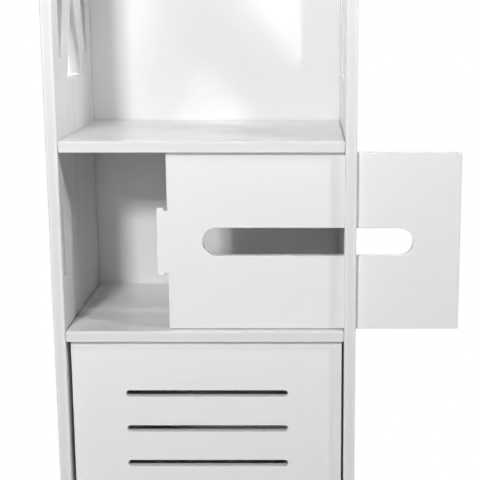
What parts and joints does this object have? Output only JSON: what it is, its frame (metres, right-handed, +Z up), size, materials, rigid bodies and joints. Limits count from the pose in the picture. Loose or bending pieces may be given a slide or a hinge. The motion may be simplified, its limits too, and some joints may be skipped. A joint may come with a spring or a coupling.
{
  "type": "bathroom cabinet",
  "caption": "Slim free-standing white bathroom cabinet: open niche with X-latticed sides, tissue compartment with a sliding slotted panel, and a cupboard with a vented door.",
  "frame": {"origin": "on the floor under the middle of the carcass", "axes": "+X to the right as seen from the front, +Y to the back, +Z up"},
  "size_m": [0.3236, 0.173, 0.8],
  "materials": {
    "white_board": "satin white foamed board",
    "white_sheet": "satin white thin sheet",
    "cap_plastic": "glossy white",
    "knob_plastic": "glossy white",
    "white_nylon": "moulded, slightly translucent white",
    "glide_plastic": "dull grey",
    "zinc_steel": "zinc plated",
    "plain_steel": "plain rolled",
    "ferrite": "dull black sintered"
  },
  "bodies": {
    "carcass": {"left_side_panel": "white_board", "right_side_panel": "white_board", "top_board": "white_board", "upper_shelf": "white_board", "tissue_shelf": "white_board", "bottom_board": "white_board", "plinth_board": "white_board", "back_panel": "white_sheet", "cupboard_shelf": "white_board", "shelf_pins": "white_nylon", "upper_hinge_bush": "white_nylon", "lower_hinge_bush": "white_nylon", "catch_case": "white_nylon", "catch_magnet": "ferrite", "catch_pole_plates": "plain_steel", "catch_screws": "zinc_steel", "top_board_screws": "zinc_steel", "upper_shelf_screws": "zinc_steel", "tissue_shelf_screws": "zinc_steel", "bottom_board_screws": "zinc_steel", "plinth_screws": "zinc_steel", "top_board_caps": "cap_plastic", "upper_shelf_caps": "cap_plastic", "tissue_shelf_caps": "cap_plastic", "bottom_board_caps": "cap_plastic", "plinth_caps": "cap_plastic", "front_left_foot": "glide_plastic", "front_right_foot": "glide_plastic", "rear_left_foot": "glide_plastic", "rear_right_foot": "glide_plastic"},
    "panel": {"tissue_panel": "white_sheet"},
    "door": {"door_panel": "white_sheet", "door_knob": "knob_plastic", "knob_screw": "zinc_steel", "upper_hinge_pin": "plain_steel", "lower_hinge_pin": "plain_steel", "strike_plate": "plain_steel"}
  },
  "joints": [
    {"name": "panel_slide", "type": "slide", "parent": "carcass", "child": "panel", "axis": [1, 0, 0], "range_m": [-0.082, 0.128]},
    {"name": "door_swing", "type": "hinge", "parent": "carcass", "child": "door", "pos_m": [-0.1022, -0.071, 0.175], "axis": [0, 0, -1], "range_deg": [0, 115]}
  ]
}
